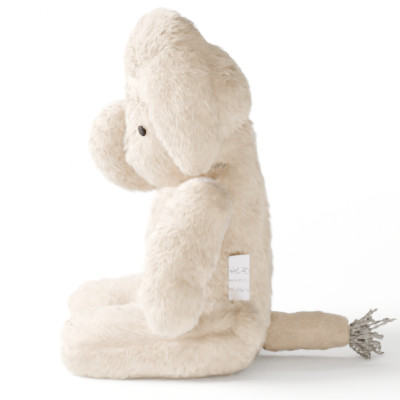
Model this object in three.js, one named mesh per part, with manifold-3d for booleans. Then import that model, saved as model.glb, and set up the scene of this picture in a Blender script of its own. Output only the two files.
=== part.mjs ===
// A seated plush elephant, built as a soft toy is sewn: fur fabric panels around stuffing
// cores, with ears, trunk, arms, legs and tail joined on at their roots.
// Millimetres. +Z is up, the toy faces -Y, and its left side is +X.
// The origin is on the floor, under the middle of the toy.

import * as THREE from 'three';
import { mergeVertices } from 'three/addons/utils/BufferGeometryUtils.js';
import Module from 'manifold-3d';

const wasm = await Module();
wasm.setup();

// ---- Driving dimensions -------------------------------------------------------------------

const FABRIC = 3;            // thickness of the fur fabric, backing and flattened pile
const TAIL_FABRIC = 2;       // the tail's fabric has a short pile
const GAP = 0.35;            // clearance between touching pieces
const JOINT_GAP = 0.9;       // clearance around a limb that turns in its pocket
const NECK_GAP = 2.2;        // clearance between the head and the collar of the neck
const THIGH_GAP = 3;         // clearance between an arm and the thigh that it lies over
const CORE_GAP = 2 * GAP;    // clearance round the head's stuffing, which bends tightly at the trunk
const FLOOR_SINK = 1.5;      // how far the seat and legs are flattened by their own weight

const HEAD_CENTRE = [0, -37, 236];
const HEAD_RADII = [50, 55, 55];
const CHEEK_CENTRE = [0, -57, 204];
const CHEEK_RADII = [44, 34, 40];
const HEAD_NOD_DOWN = -8;    // degrees; the neck leaves room for this

const SEAM_Y = -1;           // side seams of the body, between front and back panels

const HIP = { x: 46, y: -8, z: 30.5 };
const LEG_TURN = { down: -75, up: 12 };
const LEG_REACH = 190;       // from the hip to beyond the foot

const EYE = { x: 37, y: -75, z: 219.5, radius: 6, dome: 3.6, rim: 1, stem: 2, stemLength: 13 };
const EYE_FACING = [0.58, -0.77, -0.27];
const EYE_SOCKET = { bore: 36, depth: 20 };
const WASHER = { outer: 6, inner: 2.4, thick: 1.4, lift: 1 };

const TAIL_TIP = 111;
const TAIL_OPENING = { wide: 6, deep: 12, tall: 8 };
const TASSEL = { neck: 5, flare: 20, length: 35, z: 22 };
const LABEL = { x: 48.6, y: 1, z: 69, wide: 18, tall: 40, ply: 0.5, fold: 1.1 };

// How full the ends of each stuffed form are: 2 is an egg, and more is blunter.
const BLUNT = { crown: 2.3, limb: 2.6, trunk: 2.8, arm: 3.2, leg: 3.4, tail: 3.6, body: 4.5, ear: 5 };

// Each station is [x, y, z, half-width across the toy, half-depth in the plane of the toy].
const CROWN = [
  [0, -44, 222, 36, 42],
  [0, -50, 258, 43, 39],
  [0, -57, 292, 33, 33],
  [0, -60, 318, 26, 27],
];
const BODY = [
  [0, -3, -FLOOR_SINK, 46, 41],
  [0, -4, 45, 50, 43],
  [0, -5, 90, 47, 43],
  [0, -2, 130, 43, 37],
  [0, 0, 165, 39, 29],
  [0, 4, 200, 33, 19],
  [0, 11, 228, 25, 10],
];
const LEG = [
  [HIP.x, 22, HIP.z, 27, 29],
  [HIP.x, -40, HIP.z, 29, 32],
  [HIP.x, -100, HIP.z - 2, 27, 30],
  [HIP.x, -146.35, HIP.z - 4, 26, 28],
];
const ARM = [
  [61, -11, 178, 16, 26],
  [64, -28, 146, 18, 26],
  [71, -42, 116, 19, 26.5],
  [79, -49, 86, 19, 26],
  [84, -45, 50, 17, 24],
];
const EAR_PLY = 2;           // half the thickness of one panel of an ear
const EAR_CUP = 6;           // how far the edges of an ear bend towards the head
const EAR = [
  [45, -46, 292, EAR_PLY, 26],
  [53, -45, 262, EAR_PLY, 28],
  [58, -38, 236, EAR_PLY, 26],
  [61, -30, 210, EAR_PLY, 22],
  [62, -28, 187, EAR_PLY, 12],
];
const TRUNK = [
  [0, -81, 231, 18, 13],
  [0, -99, 222, 20, 15],
  [0, -106, 201, 20, 16],
  [0, -97, 181, 19, 15],
  [0, -76, 171, 17, 14],
  [0, -50, 173, 14, 12],
];
const TAIL = [
  [0, 41, 24, 13, 13],
  [0, 62, 25, 15, 15],
  [0, 88, 25, 15, 15],
  [0, TAIL_TIP, 23, 10, 10],
];
const PELLETS = [
  [0, 1, 6, 28, 24],
  [0, 2, 22, 34, 29],
  [0, 0, 44, 24, 24],
];
const POUCH_FOOT = { half: 4.5, lift: 2, top: 20 };
const POUCH_INSET = FABRIC + 5;

// ---- Materials ----------------------------------------------------------------------------

const fur = new THREE.MeshStandardMaterial({ color: 0xe6dccd, roughness: 0.95, metalness: 0 });
const shortFur = new THREE.MeshStandardMaterial({ color: 0xd8c9b4, roughness: 0.95, metalness: 0 });
const fibre = new THREE.MeshStandardMaterial({ color: 0xf6f5f1, roughness: 1, metalness: 0 });
const cotton = new THREE.MeshStandardMaterial({ color: 0xdad4c8, roughness: 0.9, metalness: 0 });
const blackPlastic = new THREE.MeshStandardMaterial({ color: 0x14120f, roughness: 0.12, metalness: 0 });
const washerPlastic = new THREE.MeshStandardMaterial({ color: 0xcfcdc8, roughness: 0.5, metalness: 0 });
const yarn = new THREE.MeshStandardMaterial({ color: 0x98928a, roughness: 0.95, metalness: 0 });
const satin = new THREE.MeshStandardMaterial({ color: 0xeeebe8, roughness: 0.6, metalness: 0 });

// ---- Solids -------------------------------------------------------------------------------

function solid(geometry) {
  const plain = geometry.clone();
  plain.deleteAttribute('normal');
  plain.deleteAttribute('uv');
  const merged = mergeVertices(plain);
  const vertProperties = new Float32Array(merged.attributes.position.array);
  const triVerts = new Uint32Array(merged.index.array);
  return new wasm.Manifold(new wasm.Mesh({ numProp: 3, vertProperties, triVerts }));
}

function geometryOf(manifold) {
  const { vertProperties, triVerts } = manifold.getMesh();
  const geometry = new THREE.BufferGeometry();
  geometry.setAttribute('position', new THREE.BufferAttribute(new Float32Array(vertProperties), 3));
  geometry.setIndex(new THREE.BufferAttribute(new Uint32Array(triVerts), 1));
  geometry.computeVertexNormals();
  return geometry;
}

// A stuffed form is a sphere drawn out along a spine. `inset` moves the surface inwards, `cup`
// bends the edges sideways, and `shift` moves the whole form sideways.
function stuffedForm(stations, options = {}) {
  const { around = 14, along = 9, blunt = BLUNT.limb, inset = 0, cup = 0, shift = 0 } = options;
  const spine = new THREE.CatmullRomCurve3(stations.map(([x, y, z]) => new THREE.Vector3(x, y, z)));
  const girth = new THREE.CatmullRomCurve3(
    stations.map(([, , , wide, deep]) => new THREE.Vector3(wide, deep, 0)),
  );
  const endInset = inset / spine.getLength();
  const geometry = new THREE.SphereGeometry(1, around, along);
  const position = geometry.attributes.position;
  const point = new THREE.Vector3();
  for (let i = 0; i < position.count; i += 1) {
    point.fromBufferAttribute(position, i);
    const along01 = (1 - point.y) / 2;
    const t = THREE.MathUtils.clamp(endInset + along01 * (1 - 2 * endInset), 0, 1);
    const ring = Math.hypot(point.x, point.z);
    const across = ring > 1e-9 ? point.x / ring : 0;
    const upwards = ring > 1e-9 ? point.z / ring : 0;
    const fullness = Math.max(0, 1 - Math.abs(point.y) ** blunt) ** (1 / blunt);
    const half = girth.getPoint(t);
    const tangent = spine.getTangent(t);
    const side = new THREE.Vector3(1, 0, 0).addScaledVector(tangent, -tangent.x).normalize();
    const front = new THREE.Vector3().crossVectors(tangent, side);
    const sideways = across * fullness * (half.x - inset) - cup * (upwards * fullness) ** 2 + shift;
    const place = spine.getPoint(t);
    place.addScaledVector(side, sideways);
    place.addScaledVector(front, upwards * fullness * (half.y - inset));
    position.setXYZ(i, place.x, place.y, place.z);
  }
  return solid(geometry);
}

function ellipsoid(centre, radii, inset = 0, around = 18) {
  const geometry = new THREE.SphereGeometry(1, around, around / 2 + 1);
  geometry.rotateX(Math.PI / 2);
  geometry.scale(radii[0] - inset, radii[1] - inset, radii[2] - inset);
  geometry.translate(...centre);
  return solid(geometry);
}

function box(low, high) {
  const geometry = new THREE.BoxGeometry(high[0] - low[0], high[1] - low[1], high[2] - low[2]);
  geometry.translate((low[0] + high[0]) / 2, (low[1] + high[1]) / 2, (low[2] + high[2]) / 2);
  return solid(geometry);
}

// Turns a solid about an axis along X through `pivot`; a positive angle lifts what is in front.
function turned(manifold, pivot, degrees) {
  return manifold
    .translate([-pivot[0], -pivot[1], -pivot[2]])
    .rotate([-degrees, 0, 0])
    .translate(pivot);
}

function mirrored(stations, side) {
  return stations.map(([x, ...rest]) => [x * side, ...rest]);
}

const REACH = 400;

function cutBelow(manifold, height) {
  return manifold.intersect(box([-REACH, -REACH, height], [REACH, REACH, REACH]));
}

// Splits a shell in two along the plane where coordinate `axis` equals `at`.
function panels(shell, axis, at) {
  const low = [-REACH, -REACH, -REACH];
  const high = [REACH, REACH, REACH];
  const lowEnd = [...high];
  const highStart = [...low];
  lowEnd[axis] = at - GAP / 2;
  highStart[axis] = at + GAP / 2;
  return [shell.intersect(box(low, lowEnd)), shell.intersect(box(highStart, high))];
}

// ---- Pieces -------------------------------------------------------------------------------

const elephant = new THREE.Group();

function addPiece(name, shape, material) {
  const geometry = shape.isBufferGeometry ? shape : geometryOf(shape);
  const mesh = new THREE.Mesh(geometry, material);
  mesh.name = name;
  elephant.add(mesh);
  return mesh;
}

function trunkForm(inset) {
  return stuffedForm(TRUNK, { inset, blunt: BLUNT.trunk, along: 14 });
}

function legForm(side, inset) {
  return stuffedForm(mirrored(LEG, side), { inset, blunt: BLUNT.leg });
}

function armForm(side, inset) {
  return stuffedForm(mirrored(ARM, side), { inset, blunt: BLUNT.arm });
}

// The eye lies along its own +Y axis, and this turns that axis to where the eye looks.
function eyePlace(side) {
  const facing = new THREE.Vector3(EYE_FACING[0] * side, EYE_FACING[1], EYE_FACING[2]).normalize();
  const turn = new THREE.Quaternion().setFromUnitVectors(new THREE.Vector3(0, 1, 0), facing);
  const at = new THREE.Vector3(EYE.x * side, EYE.y, EYE.z);
  return new THREE.Matrix4().compose(at, turn, new THREE.Vector3(1, 1, 1));
}

function eyeCutter(side, clearance) {
  const { bore, depth } = EYE_SOCKET;
  const stemHole = new THREE.CylinderGeometry(EYE.stem + clearance, EYE.stem + clearance, bore, 16);
  const domeHole = new THREE.CylinderGeometry(EYE.radius + clearance, EYE.radius + clearance, depth, 20);
  domeHole.translate(0, depth / 2 - EYE.rim - clearance, 0);
  const cutter = solid(stemHole).add(solid(domeHole));
  return cutter.transform(eyePlace(side).elements);
}

function washerCutter(side, clearance) {
  const radius = WASHER.outer + clearance;
  const depth = WASHER.thick + 2 * WASHER.lift;
  const pocket = new THREE.CylinderGeometry(radius, radius, depth, 16);
  pocket.translate(0, -EYE.stemLength + depth / 2, 0);
  return solid(pocket).transform(eyePlace(side).elements);
}

function headForm(inset) {
  const ball = ellipsoid(HEAD_CENTRE, HEAD_RADII, inset);
  const cheeks = ellipsoid(CHEEK_CENTRE, CHEEK_RADII, inset);
  const crown = stuffedForm(CROWN, { inset, blunt: BLUNT.crown, around: 16 });
  return ball.add(cheeks).add(crown).subtract(trunkForm(-JOINT_GAP - inset));
}

function addHead() {
  const outer = headForm(0);
  let shell = outer.subtract(headForm(FABRIC));
  let core = headForm(FABRIC + CORE_GAP);
  for (const side of [1, -1]) {
    shell = shell.subtract(eyeCutter(side, GAP)).subtract(washerCutter(side, GAP));
    core = core.subtract(eyeCutter(side, GAP)).subtract(washerCutter(side, GAP));
  }
  const [right, left] = panels(shell, 0, 0);
  addPiece('head_skin_left', left, fur);
  addPiece('head_skin_right', right, fur);
  addPiece('head_stuffing', core, fibre);
}

function addEyes() {
  const outline = [
    [0, -EYE.stemLength],
    [EYE.stem, -EYE.stemLength],
    [EYE.stem, -EYE.rim],
    [EYE.radius * 0.9, -EYE.rim],
    [EYE.radius, 0],
    [EYE.radius * 0.92, EYE.dome * 0.42],
    [EYE.radius * 0.7, EYE.dome * 0.74],
    [EYE.radius * 0.38, EYE.dome * 0.94],
    [0, EYE.dome],
  ];
  const ring = [
    [WASHER.inner, 0],
    [WASHER.outer, 0],
    [WASHER.outer, WASHER.thick],
    [WASHER.inner, WASHER.thick],
    [WASHER.inner, 0],
  ];
  for (const side of [1, -1]) {
    const name = side > 0 ? 'left' : 'right';
    const eye = new THREE.LatheGeometry(outline.map(([r, h]) => new THREE.Vector2(r, h)), 16);
    const washer = new THREE.LatheGeometry(ring.map(([r, h]) => new THREE.Vector2(r, h)), 16);
    washer.translate(0, WASHER.lift - EYE.stemLength, 0);
    addPiece(`eye_${name}`, eye, blackPlastic).applyMatrix4(eyePlace(side));
    addPiece(`eye_washer_${name}`, washer, washerPlastic).applyMatrix4(eyePlace(side));
  }
}

function addTrunk() {
  const shell = trunkForm(0).subtract(trunkForm(FABRIC));
  const [right, left] = panels(shell, 0, 0);
  addPiece('trunk_skin_left', left, fur);
  addPiece('trunk_skin_right', right, fur);
  addPiece('trunk_stuffing', trunkForm(FABRIC + GAP), fibre);
}

function addEars() {
  const ply = EAR_PLY + GAP / 2;
  for (const side of [1, -1]) {
    const name = side > 0 ? 'left' : 'right';
    const options = { blunt: BLUNT.ear, cup: EAR_CUP * side };
    const stations = mirrored(EAR, side);
    addPiece(`ear_outer_panel_${name}`, stuffedForm(stations, { ...options, shift: ply * side }), fur);
    addPiece(`ear_inner_panel_${name}`, stuffedForm(stations, { ...options, shift: -ply * side }), fur);
  }
}

// The space that a leg sweeps beside the seat: a thick fan about the hip, cut square at its sides.
function legRoom(side, room) {
  const half = LEG[1][4] + room;
  const up = THREE.MathUtils.degToRad(LEG_TURN.up);
  const down = THREE.MathUtils.degToRad(LEG_TURN.down);
  const fan = new THREE.Shape();
  const spread = Math.atan2(half, LEG_REACH);
  fan.moveTo(HIP.y + half * Math.sin(up), HIP.z + half * Math.cos(up));
  fan.absarc(HIP.y, HIP.z, LEG_REACH, Math.PI - up - spread, Math.PI - down + spread, false);
  fan.absarc(HIP.y, HIP.z, half, -Math.PI / 2 - down, Math.PI / 2 - up, false);
  const depth = LEG[1][3] * 2 + room * 2;
  const geometry = new THREE.ExtrudeGeometry(fan, { depth, bevelEnabled: false, curveSegments: 10 });
  const axes = [new THREE.Vector3(0, 1, 0), new THREE.Vector3(0, 0, 1), new THREE.Vector3(1, 0, 0)];
  geometry.applyMatrix4(new THREE.Matrix4().makeBasis(...axes));
  geometry.translate(HIP.x * side - depth / 2, 0, 0);
  return solid(geometry);
}

// The body leaves room for the head that nods on it and for the legs that swing beside it.
function bodyForm(inset) {
  const room = JOINT_GAP + inset;
  const ball = ellipsoid(HEAD_CENTRE, HEAD_RADII, -NECK_GAP - inset);
  const cheeks = ellipsoid(CHEEK_CENTRE, CHEEK_RADII, -NECK_GAP - inset, 14);
  return stuffedForm(BODY, { inset, blunt: BLUNT.body, around: 18, along: 12 })
    .subtract(ball.add(turned(cheeks, HEAD_CENTRE, HEAD_NOD_DOWN)))
    .subtract(legRoom(1, room))
    .subtract(legRoom(-1, room));
}

// A pouch of pellets that weighs the seat down, standing on the seat fabric.
function pouchForm(grow) {
  const foot = POUCH_FOOT.half + grow;
  const base = grow > 0 ? 0 : FABRIC + POUCH_FOOT.lift;
  return stuffedForm(PELLETS, { inset: -grow })
    .intersect(bodyForm(POUCH_INSET - grow))
    .add(box([-foot, -foot, base], [foot, foot, POUCH_FOOT.top]));
}

function addBody() {
  const shell = cutBelow(bodyForm(0), 0).subtract(cutBelow(bodyForm(FABRIC), FABRIC));
  const [front, back] = panels(shell, 1, SEAM_Y);
  addPiece('body_skin_front', front, fur);
  addPiece('body_skin_back', back, fur);
  const core = cutBelow(bodyForm(FABRIC + GAP), FABRIC + GAP);
  addPiece('body_stuffing', core.subtract(pouchForm(GAP)), fibre);
  addPiece('pellet_pouch', pouchForm(0), cotton);
}

function addLegs() {
  for (const side of [1, -1]) {
    const name = side > 0 ? 'left' : 'right';
    const shell = cutBelow(legForm(side, 0), 0).subtract(cutBelow(legForm(side, FABRIC), FABRIC));
    const [lower, upper] = panels(shell, 2, HIP.z);
    addPiece(`leg_skin_lower_${name}`, lower, fur);
    addPiece(`leg_skin_upper_${name}`, upper, fur);
    addPiece(`leg_stuffing_${name}`, cutBelow(legForm(side, FABRIC + GAP), FABRIC + GAP), fibre);
  }
}

// The arm is pressed in where it lies over the thigh.
function armBesideThigh(side, inset) {
  const thigh = legForm(side, -THIGH_GAP - inset);
  const lifted = turned(thigh, [HIP.x * side, HIP.y, HIP.z], LEG_TURN.up);
  return armForm(side, inset).subtract(thigh).subtract(lifted);
}

function addArms() {
  for (const side of [1, -1]) {
    const name = side > 0 ? 'left' : 'right';
    const shell = armBesideThigh(side, 0).subtract(armBesideThigh(side, FABRIC));
    const lean = (ARM[4][0] - ARM[0][0]) / (ARM[0][2] - ARM[4][2]);
    const degrees = THREE.MathUtils.radToDeg(Math.atan(lean)) * side;
    const { min, max } = armForm(side, 0).rotate([0, degrees, 0]).boundingBox();
    const [low, high] = panels(shell.rotate([0, degrees, 0]), 0, (min[0] + max[0]) / 2);
    const outer = (side > 0 ? high : low).rotate([0, -degrees, 0]);
    const inner = (side > 0 ? low : high).rotate([0, -degrees, 0]);
    addPiece(`arm_skin_outer_${name}`, outer, fur);
    addPiece(`arm_skin_inner_${name}`, inner, fur);
    addPiece(`arm_stuffing_${name}`, armBesideThigh(side, FABRIC + GAP), fibre);
  }
}

function addTail() {
  const form = (inset) => stuffedForm(TAIL, { inset, blunt: BLUNT.tail });
  const { wide, deep, tall } = TAIL_OPENING;
  const low = [-wide / 2, TAIL_TIP - deep, TASSEL.z - tall / 2];
  const high = [wide / 2, TAIL_TIP + deep, TASSEL.z + tall / 2];
  const skin = form(0).subtract(form(TAIL_FABRIC)).subtract(box(low, high));
  addPiece('tail_skin', skin, shortFur);
  addPiece('tail_stuffing', form(TAIL_FABRIC + GAP), fibre);
}

// The yarn leaves the tail's gathered end, and a wound thread holds its neck.
function addTassel() {
  const { neck, flare, length } = TASSEL;
  const bundle = [
    [0, 0],
    [neck - 0.6, 0],
    [neck - 0.6, 5],
    [neck + 3, 9],
    [flare * 0.75, length * 0.6],
    [flare, length * 0.9],
    [flare * 0.8, length],
    [0, length - 3],
  ];
  const thread = [
    [neck - 0.2, 1],
    [neck + 1.2, 1],
    [neck + 1.6, 2.5],
    [neck + 1.2, 4],
    [neck - 0.2, 4],
    [neck - 0.2, 1],
  ];
  const start = [0, TAIL_TIP + GAP, TASSEL.z];
  const yarnBundle = new THREE.LatheGeometry(bundle.map(([r, h]) => new THREE.Vector2(r, h)), 18);
  const binding = new THREE.LatheGeometry(thread.map(([r, h]) => new THREE.Vector2(r, h)), 18);
  addPiece('tassel_yarn', yarnBundle, yarn).position.set(...start);
  addPiece('tassel_binding', binding, yarn).position.set(...start);
}

// A strip folded in two, its cut edges in the side seam and its fold towards the back.
function addLabel() {
  const { wide, tall, ply, fold } = LABEL;
  const strip = new THREE.Shape();
  strip.moveTo(0, 0);
  strip.lineTo(wide - fold, 0);
  strip.absarc(wide - fold, fold, fold, -Math.PI / 2, Math.PI / 2, false);
  strip.lineTo(0, 2 * fold);
  strip.lineTo(0, 2 * fold - ply);
  strip.lineTo(wide - fold, 2 * fold - ply);
  strip.absarc(wide - fold, fold, fold - ply, Math.PI / 2, -Math.PI / 2, true);
  strip.lineTo(0, ply);
  strip.closePath();
  const options = { depth: tall, bevelEnabled: false, curveSegments: 6 };
  const geometry = new THREE.ExtrudeGeometry(strip, options);
  const label = addPiece('care_label', geometry, satin);
  label.rotation.z = Math.PI / 2;
  label.position.set(LABEL.x + 2 * fold, LABEL.y, LABEL.z);
}

addHead();
addEyes();
addTrunk();
addEars();
addBody();
addArms();
addLegs();
addTail();
addTassel();
addLabel();

export default elephant;
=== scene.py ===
# %% [markdown]
# # A seated plush elephant
# The toy is sewn from long-pile fur fabric and stuffed with polyester fibre. The frame holds its
# panels as plain solids. Here each stuffed part gets a smooth cover and then real strands of
# pile, which is what makes a plush toy look soft. The file begins with the frame.

# %% Load the frame
import math

import bpy
import numpy as np
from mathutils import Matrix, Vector
from mathutils.bvhtree import BVHTree
from mathutils.kdtree import KDTree


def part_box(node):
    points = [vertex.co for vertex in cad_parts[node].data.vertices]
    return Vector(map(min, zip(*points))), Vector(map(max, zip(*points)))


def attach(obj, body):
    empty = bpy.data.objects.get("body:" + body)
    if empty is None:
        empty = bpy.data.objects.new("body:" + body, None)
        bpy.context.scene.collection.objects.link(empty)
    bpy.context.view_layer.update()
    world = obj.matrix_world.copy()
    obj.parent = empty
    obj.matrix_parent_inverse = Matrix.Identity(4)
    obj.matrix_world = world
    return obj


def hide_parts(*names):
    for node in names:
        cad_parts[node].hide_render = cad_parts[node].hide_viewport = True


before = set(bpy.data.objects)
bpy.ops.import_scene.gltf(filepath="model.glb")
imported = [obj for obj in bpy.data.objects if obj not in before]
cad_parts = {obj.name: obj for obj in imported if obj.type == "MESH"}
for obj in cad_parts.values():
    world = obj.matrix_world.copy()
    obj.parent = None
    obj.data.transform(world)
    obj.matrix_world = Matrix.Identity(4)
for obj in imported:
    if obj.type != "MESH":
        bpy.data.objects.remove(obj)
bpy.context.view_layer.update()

MM = 0.001

# %% [markdown]
# ## Camera
# The toy is seen square from its left side and from a little above. A wide lens close by would
# make the near leg look larger than the far one, so a long lens stands far away. Its focal length
# follows from how wide the picture is at the toy.

# %% Camera
LOOK_AT = Vector((0, -24.5, 148.0)) * MM
CAMERA_DISTANCE = 1.8
CAMERA_RISE = math.radians(14)
FRAME_WIDTH = 0.360
SENSOR = 36.0


def add_camera():
    data = bpy.data.cameras.new("camera")
    data.sensor_width = SENSOR
    data.lens = SENSOR * CAMERA_DISTANCE / FRAME_WIDTH
    camera = bpy.data.objects.new("camera", data)
    bpy.context.scene.collection.objects.link(camera)
    away = Vector((math.cos(CAMERA_RISE), 0, math.sin(CAMERA_RISE)))
    camera.location = LOOK_AT + away * CAMERA_DISTANCE
    camera.rotation_euler = away.to_track_quat("Z", "Y").to_euler()
    bpy.context.scene.camera = camera
    return camera


add_camera()
print("lens", round(bpy.context.scene.camera.data.lens, 1), "mm")

# %% [markdown]
# ## Light
# Fur looks flat under even light and harsh under a small lamp. One large soft key stands in front
# of the toy and above it, so the face is bright and the side falls into warm shade. The white
# world works like a light tent. The backdrop light only whitens the floor behind, as its narrow
# spread misses the toy.

# %% Lights
LIGHTS = {
    "key": {"place": (0.12, -1.5, 0.95), "size": 0.8, "power": 900, "colour": (1.0, 0.985, 0.955)},
    "fill": {"place": (1.5, 0.7, 0.9), "size": 1.2, "power": 8, "colour": (1.0, 0.92, 0.82)},
    "backdrop": {
        "place": (-2.1, 0.1, 1.5), "size": 2.2, "power": 430, "colour": (1.0, 0.985, 0.96),
        "aim": (-2.1, 0.1, 0), "spread": 100,
    },
}
TENT_COLOUR = (1.0, 0.98, 0.95, 1)
TENT_STRENGTH = 1.72


def add_light(name, place, size, power, colour, aim=LOOK_AT, spread=180):
    data = bpy.data.lights.new(name, "AREA")
    data.spread = math.radians(spread)
    data.size = size
    data.energy = power
    data.color = colour
    light = bpy.data.objects.new(name, data)
    bpy.context.scene.collection.objects.link(light)
    light.location = place
    light.rotation_euler = (Vector(place) - Vector(aim)).to_track_quat("Z", "Y").to_euler()
    return light


def light_tent():
    """An even white world all round the toy."""
    world = bpy.data.worlds.new("tent")
    world.use_nodes = True
    background = world.node_tree.nodes["Background"]
    background.inputs["Color"].default_value = TENT_COLOUR
    background.inputs["Strength"].default_value = TENT_STRENGTH
    bpy.context.scene.world = world


for name, values in LIGHTS.items():
    add_light(name, **values)
light_tent()
print("lights", ", ".join(LIGHTS))

# %% [markdown]
# ## Sockets as numbers
# A shader is arithmetic on sockets. It could be wired by hand, node by node, but a long chain of
# nodes is hard to read back. This class wraps a socket so that plain Python operators add the
# Math nodes, and each material stays readable as a formula.

# %% Sockets as numbers
class Socket:
    """One output of a node, which can be added to, multiplied and so on."""

    def __init__(self, tree, socket):
        self.tree = tree
        self.socket = socket

    def _math(self, operation, *values):
        inputs = dict(enumerate(values))
        return Shader(self.tree).node("ShaderNodeMath", {"operation": operation}, inputs)

    def __add__(self, other):
        return self._math("ADD", self, other)

    def __radd__(self, other):
        return self._math("ADD", other, self)

    def __sub__(self, other):
        return self._math("SUBTRACT", self, other)

    def __rsub__(self, other):
        return self._math("SUBTRACT", other, self)

    def __mul__(self, other):
        return self._math("MULTIPLY", self, other)

    def __rmul__(self, other):
        return self._math("MULTIPLY", other, self)

# %% [markdown]
# ## Nodes
# Everything that isn't arithmetic comes from one method that takes the kind of node, its settings
# and its inputs. The settings go first, because they change which sockets a node has. The short
# methods below it name the few nodes that these finishes use: an attribute, a place on the
# object, noise, a range and a mix of colours.

# %% Nodes
class Shader:
    """Adds nodes to one material's tree."""

    def __init__(self, tree):
        self.tree = tree

    def node(self, kind, settings=None, inputs=None, output=0):
        node = self.tree.nodes.new(kind)
        for key, value in (settings or {}).items():
            setattr(node, key, value)
        for key, value in (inputs or {}).items():
            if isinstance(value, Socket):
                self.tree.links.new(value.socket, node.inputs[key])
            else:
                node.inputs[key].default_value = value
        return Socket(self.tree, node.outputs[output])

    def own(self, name):
        return self.node("ShaderNodeAttribute", {"attribute_name": name}, output="Fac")

    def place(self):
        return self.node("ShaderNodeTexCoord", output="Object")

    def noise(self, scale, detail=2.0, where=None):
        where = where or self.place()
        inputs = {"Vector": where, "Scale": scale, "Detail": detail}
        return self.node("ShaderNodeTexNoise", None, inputs, "Fac")

    def remap(self, value, low, high):
        inputs = {"Value": value, "From Min": low, "From Max": high}
        return self.node("ShaderNodeMapRange", {"clamp": True}, inputs)

    def blend(self, factor, first, second):
        inputs = {0: factor, 6: (*first, 1) if isinstance(first, tuple) else first,
                  7: (*second, 1) if isinstance(second, tuple) else second}
        return self.node("ShaderNodeMix", {"data_type": "RGBA"}, inputs, 2)

# %% [markdown]
# ## New materials
# Most of a finish is the same all over: how rough it is, how much sheen it has. Those numbers are
# set straight on the shader's sockets, and only the varying values are linked with `feed`.

# %% New materials
def new_material(name, **uniform):
    material = bpy.data.materials.new(name)
    material.use_nodes = True
    shader = material.node_tree.nodes["Principled BSDF"]
    for key, value in uniform.items():
        socket = shader.inputs[key.replace("_", " ")]
        socket.default_value = (*value, 1) if isinstance(value, tuple) else value
    return material, Shader(material.node_tree), shader


def feed(shader, name, value):
    value.tree.links.new(value.socket, shader.inputs[name])

# %% [markdown]
# ## Finish of the pile
# The pile is cream at its tips and tan at its roots, where the light hardly reaches and the
# backing shows through. An image of fur would smear on the strands, so every strand carries two
# numbers: `pile` runs from root to tip, and `lock` is warmer in soft random patches and where
# shade is painted along seams and creases. The tail is sewn from a shorter and browner cloth of
# the same kind.

# %% Finish of the pile
ROOT_SHARE = 0.05
WARM_SHARE = 0.5


def plush_material(name, tip, root):
    """A finish for pile: `pile` runs from root to tip, and `lock` is warmer where it is higher."""
    material, shader, surface = new_material(
        name, Roughness=0.9, Sheen_Weight=0.2, Sheen_Roughness=0.5, Specular_IOR_Level=0.15
    )
    pile = shader.own("pile")
    lock = shader.own("lock")
    colour = shader.blend(shader.remap(pile, ROOT_SHARE, 1.0), root, tip)
    # High `lock` blends towards this warm tan, both for soft random patches and for shade painted along
    # seams and creases.
    warm = tuple(WARM_SHARE * r + (1 - WARM_SHARE) * t for t, r in zip(tip, root))
    feed(surface, "Base Color", shader.blend(lock, colour, warm))
    return material


fur = plush_material("plush_fur", tip=(0.69, 0.55, 0.345), root=(0.30, 0.158, 0.06))
short_fur = plush_material("short_fur", tip=(0.57, 0.44, 0.27), root=(0.29, 0.165, 0.075))
print("pile finishes", fur.name, short_fur.name)

# %% [markdown]
# ## Finish of the yarn
# The tassel and the threads are spun wool. Wool is matt and uneven, so a fine noise runs between
# a light and a dark grey, which also reads as the shade between two plies.

# %% Finish of the yarn
YARN_LIGHT = (0.25, 0.222, 0.185)
YARN_DARK = (0.10, 0.087, 0.07)
YARN_GRAIN = 420.0


def thread_material(name, light, dark):
    """Spun yarn: uneven along its length, with a fine noise between a light and a dark grey."""
    uniform = {"Roughness": 0.92, "Sheen_Weight": 0.2, "Specular_IOR_Level": 0.1}
    material, shader, surface = new_material(name, **uniform)
    grain = shader.remap(shader.noise(YARN_GRAIN, 3.0), 0.3, 0.7)
    feed(surface, "Base Color", shader.blend(grain, dark, light))
    return material


yarn = thread_material("tassel_wool", YARN_LIGHT, YARN_DARK)

# %% [markdown]
# ## Finish of the eyes
# A safety eye is turned from black plastic and polished. Black plastic shows almost nothing but
# its highlight, so the colour is nearly nought and the gloss does the work.

# %% Finish of the eyes
def eye_material():
    material, _, _ = new_material(
        "eye_plastic", Base_Color=(0.006, 0.005, 0.005), Roughness=0.12, IOR=1.14, Specular_IOR_Level=0.08
    )
    return material


eye_black = eye_material()

# %% [markdown]
# ## Finish of the filling
# Fibre, the pouch and the washers are hidden in the toy. They matter when it is taken apart, so
# each gets a plain matt finish with a cloudy noise, in place of the grey of the frame.

# %% Finish of the filling
def filling_material(name, light, dark, scale):
    material, shader, surface = new_material(name, Roughness=0.95, Specular_IOR_Level=0.1)
    feed(surface, "Base Color", shader.blend(shader.noise(scale, 4.0), dark, light))
    return material


fibre = filling_material("fibre_filling", (0.80, 0.79, 0.76), (0.66, 0.64, 0.60), 160.0)
cotton = filling_material("pouch_cotton", (0.62, 0.57, 0.49), (0.50, 0.45, 0.37), 500.0)
washer = filling_material("washer_plastic", (0.60, 0.59, 0.56), (0.56, 0.55, 0.52), 80.0)

# %% [markdown]
# ## Finish of the label
# The care label is woven satin in a pale lilac white. Real ones carry words. Here three rows of
# small marks stand for stitching that spells nothing: a row is the band round one height, and
# noise breaks it into marks.

# %% Finish of the label
LABEL_ROWS = ((0.0965, 0.0030, 560), (0.0875, 0.0011, 900), (0.0790, 0.0015, 800))
LABEL_SHADE = (0.43, 0.39, 0.44)
LABEL_WHITE = (0.60, 0.56, 0.61)
LABEL_INK = (0.035, 0.032, 0.045)
LABEL_INK_SHARE = 0.85
WEAVE_GRAIN = 2600.0


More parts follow.
